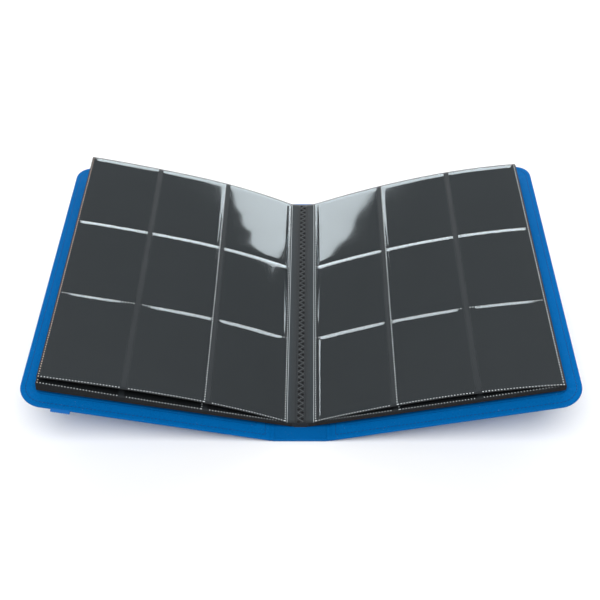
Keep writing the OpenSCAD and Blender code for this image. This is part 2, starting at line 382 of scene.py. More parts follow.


# %% [markdown]
# The covers and the spine are wrapped in blue leatherette: a coated fabric with
# an embossed pebble of about a millimetre. The valleys of the grain are darker
# and the dye is a little uneven.

# %% Blue leatherette and its lining
def leatherette(name, light, dark, scale, depth_mm, rough):
    """The colour goes from light on the pebbles to dark in the valleys, then darker in
    the clouds and pale on specks. The clouds also add to the roughness."""
    material, tree, shader = new_finish(name, light, rough, Specular_IOR_Level=0.03)
    pebble = place_group(tree, grain, Scale=scale, Fine_Share=0.25)
    marks = place_group(tree, handling, Cloud_Scale=14.0, Speck_Scale=700.0)
    tone = blend_colours(tree, math_node(tree, "MULTIPLY", pebble.outputs["Valleys"], 0.55), light, dark)
    cloud = math_node(tree, "MULTIPLY", marks.outputs["Clouds"], 0.28)
    tone = blend_colours(tree, cloud, tone, tuple(0.6 * c for c in dark))
    dusty = math_node(tree, "MULTIPLY", marks.outputs["Specks"], 0.10)
    tree.links.new(blend_colours(tree, dusty, tone, (0.55, 0.62, 0.68)), shader.inputs["Base Color"])
    uneven = math_node(tree, "MULTIPLY", marks.outputs["Clouds"], 0.18)
    tree.links.new(math_node(tree, "ADD", uneven, rough - 0.08), shader.inputs["Roughness"])
    add_bump(tree, shader, pebble.outputs["Height"], depth_mm)
    return material


cover_blue = leatherette(
    "blue leatherette", (0.0, 0.140, 0.440), (0.0, 0.078, 0.270), scale=1150.0, depth_mm=0.05, rough=0.50)
lining_blue = leatherette(
    "blue lining sheet", (0.0, 0.125, 0.400), (0.0, 0.072, 0.250), scale=2100.0, depth_mm=0.03, rough=0.6)

# %% [markdown]
# The leaves are a black non-woven cloth with a fine embossed grid. Where no film
# lies on the cloth it looks a little different, because the film wets out its fuzz.
# A point attribute marks those strips, and in the gutter's web it fades out toward
# the seam, which is painted shade. The cut edges are nearly black.

# %% Leaf cloth, its cut edge, seam thread and binding tape
def cloth(name, light, dark, threads, rough, depth_mm=0.03, sheen=0.25, bare=False):
    """The colour goes from light on the threads to dark in the gaps and the clouds,
    with pale specks. The roughness is rough plus a share of the clouds."""
    material, tree, shader = new_finish(
        name, light, rough, Sheen_Weight=sheen, Sheen_Roughness=0.4, Specular_IOR_Level=0.25)
    grid = place_group(tree, weave, Threads=threads, Fray=0.7)
    marks = place_group(tree, handling, Cloud_Scale=30.0, Speck_Scale=1300.0)
    clouds = marks.outputs["Clouds"]
    tone = blend_colours(tree, math_node(tree, "MULTIPLY", grid.outputs["Gaps"], 0.8), light, dark)
    tone = blend_colours(tree, math_node(tree, "MULTIPLY", clouds, 0.35), tone, dark)
    if bare:
        # The point attribute makes strips without film lighter and leaves the gutter darker toward the seam,
        # which is painted shade.
        bare_and_shade_attribute = tree.nodes.new("ShaderNodeAttribute")
        bare_and_shade_attribute.attribute_name = "bare"
        tone = blend_colours(tree, bare_and_shade_attribute.outputs["Fac"], tone, (0.025, 0.036, 0.042))
    dusty = math_node(tree, "MULTIPLY", marks.outputs["Specks"], 0.18)
    tree.links.new(blend_colours(tree, dusty, tone, (0.20, 0.215, 0.225)), shader.inputs["Base Color"])
    tree.links.new(math_node(tree, "MULTIPLY_ADD", clouds, 0.15, rough), shader.inputs["Roughness"])
    add_bump(tree, shader, grid.outputs["Height"], depth_mm)
    return material


leaf_cloth = cloth(
    "black leaf cloth", (0.0205, 0.0250, 0.0285), (0.010, 0.012, 0.014), 1450.0, 0.62, sheen=0.16, bare=True)
leaf_edge = cloth("cut leaf edge", (0.020, 0.013, 0.010), (0.007, 0.005, 0.004), 1600.0, 0.8, sheen=0.05)
seam_black = cloth(
    "black seam thread", (0.075, 0.082, 0.086), (0.030, 0.033, 0.035), 2600.0, 0.5, depth_mm=0.05)
# Nearly black cloth for the beads in the seam's notches: painted shade where the thread pulls the cloth
# down.
painted_seam_shade = cloth(
    "painted seam shade", (0.006, 0.006, 0.007), (0.003, 0.003, 0.003), 1450.0, 0.85, sheen=0.02)
tape_black = cloth(
    "black binding tape", (0.020, 0.021, 0.022), (0.008, 0.008, 0.009), 1200.0, 0.7, depth_mm=0.05)
stitch_blue = cloth(
    "blue cover thread", (0.0, 0.050, 0.20), (0.0, 0.025, 0.11), 2600.0, 0.6, depth_mm=0.05, sheen=0.0)
elastic_blue = cloth(
    "blue ribbed elastic", (0.0, 0.15, 0.5), (0.0, 0.07, 0.26), 1500.0, 0.6, depth_mm=0.08, sheen=0.3)

# %% [markdown]
# The pocket film is clear polypropylene. A clear sheet shows two things: what is
# behind it, and what it mirrors. So the shader is a mirror whose Alpha is the
# share of light that a thin sheet reflects: twice the Fresnel share of one face.
# Looked at straight on it is nearly invisible, and at a low angle it gleams.

# %% Clear film and weld dots
def clear_film():
    """Alpha is 1.85 times the Fresnel share of one face, since a little is lost inside,
    plus a haze that varies with the clouds. So does the roughness."""
    material, tree, shader = new_finish("clear pocket film", (0.82, 0.92, 0.97), 0.06, Metallic=1.0)
    marks = place_group(tree, handling, Cloud_Scale=22.0, Speck_Scale=1100.0)
    clouds = marks.outputs["Clouds"]
    mirror = tree.nodes.new("ShaderNodeFresnel")
    mirror.inputs["IOR"].default_value = 1.5
    both_faces = math_node(tree, "MULTIPLY", mirror.outputs[0], 1.85)
    haze = math_node(tree, "MULTIPLY_ADD", clouds, 0.012, 0.004)
    tree.links.new(math_node(tree, "ADD", both_faces, haze, clamp=True), shader.inputs["Alpha"])
    tree.links.new(math_node(tree, "MULTIPLY_ADD", clouds, 0.06, 0.03), shader.inputs["Roughness"])
    return material


def weld_plastic(name, light, dark):
    """Pressed film: its clouds mix the two colours and roughen the surface."""
    material, tree, shader = new_finish(name, light, 0.3, Specular_IOR_Level=0.6)
    marks = place_group(tree, handling, Cloud_Scale=260.0, Speck_Scale=2000.0)
    tree.links.new(blend_colours(tree, marks.outputs["Clouds"], light, dark), shader.inputs["Base Color"])
    add_bump(tree, shader, marks.outputs["Clouds"], 0.03)
    return material


film_clear = clear_film()
weld_white = weld_plastic("pressed weld", (0.80, 0.86, 0.88), (0.46, 0.50, 0.52))
weld_tan = weld_plastic("outer weld", (0.70, 0.56, 0.46), (0.34, 0.24, 0.18))

# %% [markdown]
# Grey board fills the covers. It only shows if a cover is cut open, but it gets
# its own pulp look with flecks so that no piece is left plain.

# %% Grey board
def grey_board():
    """Clouds mix two greys, and specks are dark flecks of pulp."""
    material, tree, shader = new_finish("grey board", (0.36, 0.35, 0.32), 0.85)
    marks = place_group(tree, handling, Cloud_Scale=120.0, Speck_Scale=900.0)
    tone = blend_colours(tree, marks.outputs["Clouds"], (0.42, 0.41, 0.37), (0.26, 0.25, 0.22))
    flecked = blend_colours(tree, marks.outputs["Specks"], tone, (0.12, 0.11, 0.10))
    tree.links.new(flecked, shader.inputs["Base Color"])
    add_bump(tree, shader, marks.outputs["Clouds"], 0.08)
    return material


board_grey = grey_board()
print("finishes:", [m.name for m in bpy.data.materials])

# %% [markdown]
# ## Sizes
# The sizes are those of the CAD model, in millimetres. Places that the CAD boxes
# give are read from them, so the new pieces stay in the same frame.

# %% Sizes shared by the pieces
TILT = np.radians(15.0)
HINGE_X, HINGE_Z = 26.0, 1.6
BOARD_IN, BOARD_OUT = 1.7, 222.85
HALF_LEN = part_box("spine_skin")[1].y * 1000
HALF_THICK, CORNER = 1.4, 20.0
SPINE_EDGE, SPINE_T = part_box("spine_skin")[1].x * 1000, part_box("spine_skin")[1].z * 1000
LEAF_LOW, LEAF_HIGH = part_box("back_leaf_10")[0].y * 1000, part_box("back_leaf_10")[1].y * 1000
LEAF_MID = (LEAF_LOW + LEAF_HIGH) / 2
LEAVES = 10
SIDES = ("front", "back")
SIGN = {"front": -1.0, "back": 1.0}
print("leaves run from y", round(LEAF_LOW, 2), "to", round(LEAF_HIGH, 2))


def board_to_world(side, points):
    """Carries points of a board's own frame to the binder's: x is the distance from
    the hinge line, y runs along the spine and z stands on the board. The board is
    turned up by TILT about its hinge line, and the front one is mirrored in X."""
    x, y, z = points[..., 0], points[..., 1], points[..., 2]
    out = HINGE_X + x * np.cos(TILT) - z * np.sin(TILT)
    return np.stack([SIGN[side] * out, y, HINGE_Z + x * np.sin(TILT) + z * np.cos(TILT)], -1)


# %% [markdown]
# ## Covers
# A binder cover is a board with leatherette stretched over it. The edges are
# round, the leatherette is turned in by 13 mm all round and the corners of this
# hem are gathered in small pleats. The shape is one profile, from the middle of
# the outer face over the edge to the end of the hem, carried round the board's
# outline. Moving the outline inward by the profile's first number gives each ring.

# %% Outline and wrapped panel
def outline(inset, x0, x1, half, radius, counts=(44, 18, 60)):
    """Closed outline of a panel, moved inward by inset. It runs out along the near
    edge, round one corner, along the outer edge, round the other corner, back along
    the far edge and down the hinge side. The count of points is always the same."""
    r = np.maximum(radius - inset, 0.4)
    a, b, h = x0 + inset, x1 - inset, half - inset
    long, arc, side = counts
    s = (np.arange(long) / long)
    near = np.stack([a + (b - r - a) * s, np.full(long, -h)], -1)
    angle = np.pi / 2 * np.arange(arc) / arc
    low = np.stack([b - r + r * np.sin(angle), -h + r - r * np.cos(angle)], -1)
    e = np.arange(side) / side
    outer = np.stack([np.full(side, b), (-h + r) + 2 * (h - r) * e], -1)
    high = np.stack([b - r + r * np.cos(angle), h - r + r * np.sin(angle)], -1)
    far = np.stack([b - r + (a - b + r) * s, np.full(long, h)], -1)
    hinge = np.stack([np.full(side, a), h - 2 * h * e], -1)
    return np.concatenate([near, low, outer, high, far, hinge])


def edge_round(radius, half_thick, steps=6):
    """Profile of a rounded edge as (inset, height) pairs, from the underside up."""
    angle = np.linspace(0, np.pi / 2, steps)
    lower = np.stack([radius * (1 - np.sin(angle)), -half_thick + radius * (1 - np.cos(angle))], -1)
    upper = np.stack([radius * (1 - np.cos(angle)), half_thick - radius * (1 - np.sin(angle))], -1)
    return np.concatenate([lower, upper])


def wrapped_panel(profile, ring):
    """Points of a panel: for each (inset, height) of the profile, the outline moved
    in by inset at that height. The two ends are closed by flat caps."""
    flat = [np.concatenate([ring(d), np.full((len(ring(d)), 1), h)], 1) for d, h in profile]
    return np.stack(flat)


def panel_faces(rows, columns):
    """Quads between the rings, and one large face that closes each end."""
    body = quads_of(rows, columns, wrap_columns=True)
    first = np.arange(columns)
    return [body, first[None, ::-1], first[None] + (rows - 1) * columns]


def cover_shell(side):
    """The wrapped board. Height gets a soft ripple of a twentieth of a millimetre,
    and each round corner of the hem gets pleats: a rectified sine of the corner's
    angle that fades in from the edge."""
    ripple_height, pleat_depth, pleats = 0.05, 0.16, 7
    outer_face = [(d, -1.0) for d in (70, 45, 25, 12, 6, 2.5)]
    hem = [(2.2, 1.0), (3.6, 1.0), (4.5, 0.965), (5.4, 1.0), (8, 1.0),
           (11, 1.0), (12.4, 0.99), (12.8, 0.93), (12.95, 0.6)]
    profile = [(d, HALF_THICK * h) for d, h in outer_face]
    profile += [tuple(p) for p in edge_round(1.15, HALF_THICK)]
    profile += [(d, HALF_THICK * h) for d, h in hem]
    points = wrapped_panel(profile, lambda d: outline(d, BOARD_IN, BOARD_OUT, HALF_LEN, CORNER))
    depth = np.array([d for d, _ in profile])[:, None]
    top = (np.array([h for _, h in profile]) > 0.9)[:, None]
    x, y = points[..., 0], points[..., 1]
    wave = np.abs(ripple(x, y, 3 if side == "front" else 4, 60.0))
    points[..., 2] -= ripple_height * wave * np.sign(points[..., 2]) * (depth > 2)
    beyond, past = x - (BOARD_OUT - CORNER), np.abs(y) - (HALF_LEN - CORNER)
    in_corner = (beyond > 0) & (past > 0) & (np.hypot(beyond, past) > 5)
    fold = np.abs(np.sin(np.arctan2(past, beyond) * pleats))
    pleat = pleat_depth * fold * np.clip((depth - 1.5) / 5, 0, 1) * top
    points[..., 2] -= np.where(in_corner, pleat, 0)
    placed = board_to_world(side, points).reshape(-1, 3)
    return put_mesh(f"{side}_cover_skin", placed, panel_faces(*points.shape[:2]), [cover_blue])


for side in SIDES:
    shell = turn_outward(cover_shell(side))
    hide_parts(f"{side}_skin")
    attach(shell, f"{side}_cover")
    print(shell.name, len(shell.data.vertices), "points")

# %% [markdown]
# ## Spine
# The spine is a narrow wrapped strip between the two hinges. It is made as the
# covers are, from one profile carried round a rectangle with tiny corners. The
# lining sheet inside stays the CAD's own piece, because a flat sheet is right.

# %% Spine shell
def spine_shell():
    """A rectangle with its edges rounded by a millimetre. The inner face has a
    shallow recess for the lining sheet."""
    half = SPINE_T / 2
    profile = [(20, -half), (8, -half), (2, -half)] + [tuple(p) for p in edge_round(0.9, half)]
    profile += [(1.0, half * 0.99), (1.12, half * 0.9), (1.18, half * 0.55)]
    points = wrapped_panel(
        profile, lambda d: outline(d, -SPINE_EDGE, SPINE_EDGE, HALF_LEN, 1.4, (24, 6, 60)))
    points[..., 2] += half
    return put_mesh("spine_wrap", points.reshape(-1, 3), panel_faces(*points.shape[:2]), [cover_blue])


spine = turn_outward(spine_shell())
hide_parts("spine_skin")
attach(spine, "spine")
print(spine.name, len(spine.data.vertices), "points")

# %% [markdown]
# ## Hinges
# At each hinge the leatherette and the lining are pressed together into a soft
# groove between board and spine. It is a strip whose cross-section is pinched in
# the middle. It lies half on the spine and half on the cover.

# %% Hinge grooves
def hinge_groove(side):
    """A strip from the spine's edge to the board's edge. Its middle line follows the
    two bodies, its half thickness is 1.2 mm and dips by a third at the hinge line
    as a bell curve, and it runs the length of the cover."""
    s = np.linspace(-1.9, 2.3, 22)
    x = HINGE_X + s * np.where(s < 0, 1.0, np.cos(TILT))
    z = HINGE_Z + s * np.where(s < 0, 0.0, np.sin(TILT))
    half = 1.18 - 0.38 * np.exp(-(s / 0.75) ** 2)
    y = np.linspace(-HALF_LEN + 0.25, HALF_LEN - 0.25, 90)
    low, high = (
        np.stack(np.broadcast_arrays(SIGN[side] * x[:, None], y[None, :], (z + way * half)[:, None]), -1)
        for way in (-1, 1))
    points, faces, _ = two_layers(low, high, SIGN[side] < 0)
    return put_mesh(f"{side}_hinge_groove", points, faces, [cover_blue])


for side in SIDES:
    groove = turn_outward(hinge_groove(side))
    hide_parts(f"{side}_hinge")
    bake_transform(groove)

# %% [markdown]
# ## Edge stitching
# A row of single stitches runs round each cover, 4.5 mm in from the edge, on both
# faces. One stitch is a small flattened bead of 30 faces. It is placed hundreds
# of times along the outline, each copy turned to the outline's direction.

# %% Stitches
def bead(length, width, height, around=6):
    """A flattened bead: rings of points whose size follows a circle's arc along the
    length, closed at each end by a fan of triangles."""
    s = np.array([-0.92, -0.45, 0.45, 0.92])
    size = np.sqrt(1 - s ** 2) ** 0.7
    a = np.arange(around) * 2 * np.pi / around
    rings = np.stack(np.broadcast_arrays(
        (s * length / 2)[:, None],
        size[:, None] * width / 2 * np.cos(a),
        size[:, None] * height * np.sin(a)), -1)
    tips = np.array([[-length / 2, 0, 0], [length / 2, 0, 0]])
    points = np.concatenate([rings.reshape(-1, 3), tips])
    k, last_ring = np.arange(around), (len(s) - 1) * around
    after = (k + 1) % around
    first = np.stack([np.full(around, len(points) - 2), after, k], -1)
    final = np.stack([np.full(around, len(points) - 1), k + last_ring, after + last_ring], -1)
    return points, [quads_of(len(s), around, wrap_columns=True), np.concatenate([first, final])]


def evenly(path, pitch):
    """Places and directions at even spacing along a closed path of points."""
    closed = np.concatenate([path, path[:1]])
    step = np.linalg.norm(np.diff(closed, axis=0), axis=1)
    length = np.concatenate([[0], np.cumsum(step)])
    count = int(length[-1] / pitch)
    at = (np.arange(count) + 0.5) * length[-1] / count
    place, ahead = (
        np.stack([np.interp(at + more, length, closed[:, k]) for k in range(2)], -1) for more in (0, 0.5))
    return place, ahead - place


def edge_stitches(side):
    """One bead every 3.3 mm along the outline moved in by 4.5 mm, on both faces."""
    stitch, stitch_faces = bead(2.5, 0.7, 0.22)
    place, ahead = evenly(outline(4.5, BOARD_IN, BOARD_OUT, HALF_LEN, CORNER), 3.3)
    along = np.concatenate([ahead, np.zeros((len(ahead), 1))], 1)
    parts = []
    for face in (1, -1):
        height = np.full((len(place), 1), face * (HALF_THICK - 0.06))
        outward = np.tile([0, 0, float(face)], (len(place), 1))
        here, faces = scatter(stitch, stitch_faces, np.concatenate([place, height], 1), along, outward)
        parts.append((board_to_world(side, here), faces, 0))
    points, blocks, _ = join_parts(parts)
    return put_mesh(f"{side}_edge_stitches", points, blocks, [stitch_blue])


for side in SIDES:
    stitches = turn_outward(edge_stitches(side))
    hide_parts(f"{side}_stitching")
    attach(stitches, f"{side}_cover")
    print(stitches.name, len(stitches.data.polygons), "faces")

# %% [markdown]
# ## The line of a leaf
# Every leaf leaves the gutter, rises in a curve and levels out over the board.
# The lowest leaves lie flat on the board, and the top leaf arches most. The line
# is found by adding up short steps, each at its own slope.

# %% Leaf lines
# Lengths along a leaf: the inner weld, the first column's mouth, the second column's
# weld, the two mouths that face each other, the outer weld and the leaf's end.
WELD_IN, MOUTH_A, WELD_12, MOUTH_B, MOUTH_C, WELD_OUT, LEAF_ARC = 6.3, 77.3, 82.3, 150.8, 155.8, 224.3, 225.8
LEAF_X, STACK_LOW, PITCH, TOP_GAP, BACKING = 7.5512, 3.78, 0.5747, 0.35, 0.28
LOW_SLOPE, WEB_DROP, WEB_SHARE = 14.6, 4.6, 0.5
COLUMN_MIDDLES = (44.3, 117.8, 188.8)
RISES = {"front": (8.9, 1.6, -0.7), "back": (5.6, 0.8, -5.6)}
LIFT = {"front": 2.5, "back": 0.2}
LINE_T = np.linspace(0, LEAF_ARC, 904)


def leaf_slope(side, number, t):
    """Slope in degrees at length t. The top leaf's extra rise over the board's slope
    is straight between the middles of the three columns. The lower leaves' grows
    steadily outward. Both start lower in the bare inner strip, and a soft step of
    2 mm joins the two."""
    m, s = COLUMN_MIDDLES, RISES[side]
    nearer = s[0] + (s[1] - s[0]) * (t - m[0]) / (m[1] - m[0])
    farther = s[1] + (s[2] - s[1]) * (t - m[1]) / (m[2] - m[1])
    rise = np.where(t < m[1], nearer, farther)
    inner = 1 / (1 + np.exp((t - WELD_IN) / 0.8))
    if number == LEAVES:
        return LOW_SLOPE + rise * (1 - inner) - WEB_DROP * inner
    fan = LIFT[side] * t / LEAF_ARC * (1 - inner) - WEB_DROP * WEB_SHARE * inner
    return LOW_SLOPE + fan * (number - 1) / (LEAVES - 2)


def leaf_line(side, number, t):
    """x, z and the unit normal of the leaf's underside at lengths t, by adding up
    the steps. Lengths below nought run straight on toward the gutter's middle."""
    slope = np.radians(leaf_slope(side, number, LINE_T))
    step = LINE_T[1] - LINE_T[0]
    mean = (slope[1:] + slope[:-1]) / 2
    x = LEAF_X + np.concatenate([[0], np.cumsum(np.cos(mean))]) * step
    root = STACK_LOW + PITCH * (number - 1) + (TOP_GAP if number == LEAVES else 0)
    z = root + np.concatenate([[0], np.cumsum(np.sin(mean))]) * step
    a = np.interp(t, LINE_T, slope)
    before = np.minimum(t, 0)
    px = np.interp(t, LINE_T, x) + before
    pz = np.interp(t, LINE_T, z) + before * 0.05
    return px, pz, -np.sin(a), np.cos(a)


def leaf_surface(side, number, t, y, lift):
    """Points of leaf number at length t, place y along the spine and height lift over
    its underside. A gentle sag of the free outer edge makes each leaf differ."""
    px, pz, nx, nz = leaf_line(side, number, t)
    far = np.clip(t / LEAF_ARC, 0, 1) ** 2
    loose = 0.10 + 0.03 * number
    seed = 40 + number + (20 if side == "back" else 0)
    lift = lift + far * loose * ripple(t, y, seed, 130.0, 3) * 0.35
    return np.stack(np.broadcast_arrays(SIGN[side] * (px + nx * lift), y, pz + nz * lift), -1)


t_check = leaf_line("front", 10, np.array([0, WELD_IN, WELD_12, 153.3, WELD_OUT]))
print("front top leaf at its welds: x", t_check[0].round(1), "z", t_check[1].round(1))

# %% [markdown]
# ## Leaf cloth
# Each leaf is one sheet of black cloth, 226 by 288 mm. It is made from its line
# and given its thickness by a second layer, with a rim of the dark cut edge.
# The top leaf reaches further into the gutter, where it is sewn in.

# %% Leaves
def leaf_sheet(side, number):
    """The leaf's surface at no lift and at its thickness, joined to a closed sheet. The
    two upper leaves, which can be seen, have the finer grid, with extra lines beside
    each mouth and weld. The strips without film get a lighter mark, which fades out
    toward the seam as painted shade in the gutter."""
    root, fine = -3.3 if number == LEAVES else 0.0, number >= LEAVES - 1
    beside = [m + d for m in (MOUTH_A, MOUTH_B) for d in (-0.3, 0.6)]
    beside += [w + d for w in (WELD_12, MOUTH_C) for d in (-0.6, 0.3)]
    t = np.unique(np.concatenate([
        np.linspace(root, WELD_IN + 6, 16), np.linspace(WELD_IN + 8, LEAF_ARC, 96 if fine else 48), beside]))
    y = np.linspace(LEAF_LOW, LEAF_HIGH, 90 if fine else 36)
    T, Y = np.meshgrid(t, y, indexing="ij")
    low, high = leaf_surface(side, number, T, Y, 0.0), leaf_surface(side, number, T, Y, BACKING)
    bands = ((T > MOUTH_A + 0.2) & (T < WELD_12 - 0.2)) | ((T > MOUTH_B + 0.2) & (T < MOUTH_C - 0.2))
    # Bands without film get a small lighter share. In the web inside the inner weld the share fades to
    # nought toward the seam: painted shade at the bottom of the gutter.
    bare = 0.12 * bands + np.where(T < WELD_IN - 0.4, np.clip((T + 2) / 9, 0, 1), 0)
    points, faces, rim = two_layers(low, high, SIGN[side] < 0)
    return put_mesh(
        f"{side}_leaf_{number}_cloth", points, faces, [leaf_cloth, leaf_edge], rim,
        bare=np.tile(bare.ravel(), 2))


for side in SIDES:
    for number in range(1, LEAVES + 1):
        leaf = leaf_sheet(side, number)
        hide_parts(f"{side}_leaf_{number}")
        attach(leaf, f"{side}_top_leaf" if number == LEAVES else f"{side}_leaves")

# %% [markdown]
# ## Pocket film
# Each face of a leaf carries nine pockets: a clear film welded on three sides and
# open on the fourth. From each weld the film climbs a short ramp and then lies
# almost flat, with soft waves. Those ramps are what catches the light along the
# welds. The grid is finer near the welds than in the middle, so that the ramps
# are smooth. The slack of each pocket differs a little, as on a binder that has been leafed
# through, and the ramps near the gutter are the steepest.

# %% Film pockets
ROWS = [LEAF_MID + 95 * k for k in (-1.5, -0.5, 0.5, 1.5)]
COLUMNS = [(WELD_IN, MOUTH_A, "in"), (WELD_12, MOUTH_B, "in"), (MOUTH_C, WELD_OUT, "out")]


def crowded(a, b, count, margin=6.0):
    """Numbers from a to b. A quarter of them lie in the first margin and a quarter in
    the last, where the film's ramps are, and the rest are spread between."""
    ends = max(count // 4, 2)
    middle = np.linspace(a + margin, b - margin, count - 2 * ends + 2)
    first, final = np.linspace(a, a + margin, ends), np.linspace(b - margin, b, ends)
    return np.concatenate([first[:-1], middle, final[1:]])


def pocket_height(side, t, y, column, row, seed, climb):
    """Height of the film over the cloth. It is the product of ramps that rise from
    the welded edges and level off, plus soft waves of the slack film. Beside the
    weld a flat strip comes first. The open mouth keeps most of its height. The film
    of the far row leans a little to the near side and that of the middle row to the
    far side."""
    t0, t1, closed = column
    y0, y1 = row
    innermost, near_row, far_row = t0 == WELD_IN, y0 == ROWS[0], y0 == ROWS[2]
    from_weld, to_mouth = (t - t0, t1 - t) if closed == "in" else (t1 - t, t - t0)
    far_ramp, near_ramp = knee((y1 - y) / 4.0, 8), knee((y - y0) / 3.0)
    if innermost and near_row:
        flat_strip, climb_length = (3.2, 2.8) if side == "back" else (1.0, 7.0)
    elif innermost:
        flat_strip, climb_length = 2.4, 2.0
    else:
        flat_strip, climb_length = (0.6, 2.4) if closed == "in" else (0.5, 6.0)
    side_ramp = knee((from_weld - flat_strip) / climb_length, 6)
    mouth = 1 - 0.45 * np.exp(-np.maximum(to_mouth, 0) / 6.0)
    lean = 0.0 if near_row else 1.0 if far_row else -1.2
    tilt = 1 + lean * (0.5 - (y - y0) / (y1 - y0))
    plump = climb * far_ramp * near_ramp * side_ramp * mouth * tilt
    slack = 0.055 if innermost and far_row else 0.018
    waves = 0.10 * ripple(t, y, seed, 60.0) + slack * ripple(t, y, seed + 1, 32.0)
    return 0.03 + plump * (1 + waves)


def film_sheets(side, number):
    """All pockets of a leaf, on both faces, as one mesh of separate sheets. Only the
    upper face of the top leaf is plump. The films that lie between leaves are flat."""
    parts = []
    for face in (1, -1):
        shown = number == LEAVES and face > 0
        climb = 0.62 if shown else 0.03 if number < LEAVES - 1 and face < 0 else 0.04
        for k in range(9):
            column, (y0, y1) = COLUMNS[k // 3], ROWS[k % 3:k % 3 + 2]
            t = crowded(column[0], column[1], 44 if shown else 12)
            T, Y = np.meshgrid(t, crowded(y0, y1, 56 if shown else 12), indexing="ij")
            seed = 100 + 10 * (k // 3) + k % 3 + (50 if side == "back" else 0)
            height = pocket_height(side, T, Y, column, (y0, y1), seed, climb)
            grid = leaf_surface(side, number, T, Y, BACKING + height if face > 0 else -height)
            quads = quads_of(*T.shape)
            turned = (SIGN[side] < 0) == (face > 0)
            parts.append((grid.reshape(-1, 3), [quads[:, ::-1] if turned else quads], 0))
    points, blocks, _ = join_parts(parts)
    return put_mesh(f"{side}_leaf_{number}_film", points, blocks, [film_clear])


for side in SIDES:
    for number in range(1, LEAVES + 1):
        film = film_sheets(side, number)
        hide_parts(f"{side}_films_{number}")
        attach(film, f"{side}_top_leaf" if number == LEAVES else f"{side}_leaves")

# %% [markdown]
# ## Weld dots
# The film is welded to the cloth with a toothed bar, which leaves rows of small
# pressed dashes: three rows along the leaf and four across it. The rows across
# stop where the pockets open. The outermost row is tanned on the front leaves. The
# film's cut edge stands beside the innermost row as a thin milky line.

# %% Welds
def weld_rows(number):
    """Places (t, y) of the dashes: of the rows across the leaf, of those along it, and
    of the outermost row. Rows that hide in the stack are left out."""
    pitch, shown = 2.6, number >= LEAVES - 1
    across = []
    for y in ROWS if shown else (ROWS[0], ROWS[3]):
        for t0, t1, _ in COLUMNS:
            t = np.arange(t0 + 1.0, t1 - 0.5, pitch)
            across.append(np.stack([t, np.full(len(t), y)], -1))
    y = np.arange(LEAF_LOW + 1.5, LEAF_HIGH - 1.0, pitch)
    down = lambda t: np.stack([np.full(len(y), t), y], -1)
    along = [down(t) for t in ((WELD_IN, WELD_12) if shown else (WELD_IN,))]
    return np.concatenate(across), np.concatenate(along), down(WELD_OUT)


def weld_dots(side, number):
    """A bead at each place of the rows, on both faces of the leaf, turned along its
    row. The film's cut edge is a ribbon 0.3 mm wide on the two upper leaves."""
    dash, dash_faces = bead(1.05, 1.15, 0.16)
    across, along, outermost = weld_rows(number)
    outer_look = 1 if side == "front" else 0
    parts = []
    for face in (1, -1):
        lift = BACKING + 0.03 if face > 0 else -0.03
        for places, way, look in ((across, 0, 0), (along, 1, 0), (outermost, 1, outer_look)):
            t, y = places.T
            centre = leaf_surface(side, number, t, y, lift)
            ahead = leaf_surface(side, number, t + (way == 0), y + (way == 1), lift) - centre
            above = leaf_surface(side, number, t, y, lift + face) - centre
            parts.append((*scatter(dash, dash_faces, centre, ahead, above), look))
    ribbon_y = np.linspace(LEAF_LOW + 0.2, LEAF_HIGH - 0.2, 90)
    T, Y = np.meshgrid(WELD_IN - np.array([1.95, 1.65]), ribbon_y, indexing="ij")
    for under, over in ((BACKING + 0.01, BACKING + 0.09), (-0.01, -0.06)) if number >= LEAVES - 1 else ():
        low, high = leaf_surface(side, number, T, Y, under), leaf_surface(side, number, T, Y, over)
        parts.append((*two_layers(low, high, SIGN[side] < 0)[:2], 0))
    points, blocks, marks = join_parts(parts)
    obj = put_mesh(f"{side}_leaf_{number}_welds", points, blocks, [weld_white, weld_tan], marks)
    return turn_outward(obj)


for side in SIDES:
    for number in range(1, LEAVES + 1):
        dots = weld_dots(side, number)
        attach(dots, f"{side}_top_leaf" if number == LEAVES else f"{side}_leaves")

# %% [markdown]
# ## Gutter
# In the middle all leaves are one stack, sewn through with a zigzag seam. Ten
# short folds run from the seam to the leaves of each side.

# %% Gutter folds
def gutter_folds(side):
    """For each leaf a strip from the middle to the leaf's inner edge. Its height goes
    smoothly, by a square, from the stack's height at the seam to the leaf's."""
    y, reach = np.linspace(LEAF_LOW, LEAF_HIGH, 60), LEAF_X + 0.25
    parts = []
    for number in range(1, LEAVES + 1):
        x = np.linspace(0, 5.4 if number == LEAVES else reach, 20)
        X, Y = np.meshgrid(x, y, indexing="ij")
        Z = 3.70 + PITCH * (number - 1) + (X / reach) ** 2 * 0.11
        low, high = (np.stack([SIGN[side] * X, Y, Z + more], -1) for more in (0, BACKING))
        parts.append((*two_layers(low, high, SIGN[side] < 0)[:2], 0))
    points, blocks, _ = join_parts(parts)
    return put_mesh(f"{side}_gutter_folds", points, blocks, [leaf_cloth])


for side in SIDES:
    folds = turn_outward(gutter_folds(side))
    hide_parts("gutter_folds")
    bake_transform(folds)

# %% [markdown]
# ## Zigzag seam
# The seam is one round thread. Its path is a triangle wave along the gutter, with
# the tips rounded, and it dips into the cloth at each tip. A ring of six points
# is carried along the path. The tight thread pulls the cloth down in the notches
# of the zigzag, and the shade that falls into each notch is painted as a flat
# near-black bead.

# %% Seam thread
ZIGZAG_PITCH, ZIGZAG_HALF = 6.6, 2.3


def tube(path, radius, around=6):
    """A round tube along a path. Each ring lies across the path's direction, in the
    plane of straight up and their cross product."""
    ahead = np.gradient(path, axis=0)
    ahead /= np.linalg.norm(ahead, axis=1, keepdims=True)
    side_way = np.cross(ahead, [0, 0, 1.0])
    side_way /= np.linalg.norm(side_way, axis=1, keepdims=True)
    up = np.cross(side_way, ahead)
    a = (np.arange(around) * 2 * np.pi / around)[None, :, None]
    points = path[:, None] + radius * (np.cos(a) * side_way[:, None] + np.sin(a) * up[:, None])
    return points.reshape(-1, 3), panel_faces(len(path), around)


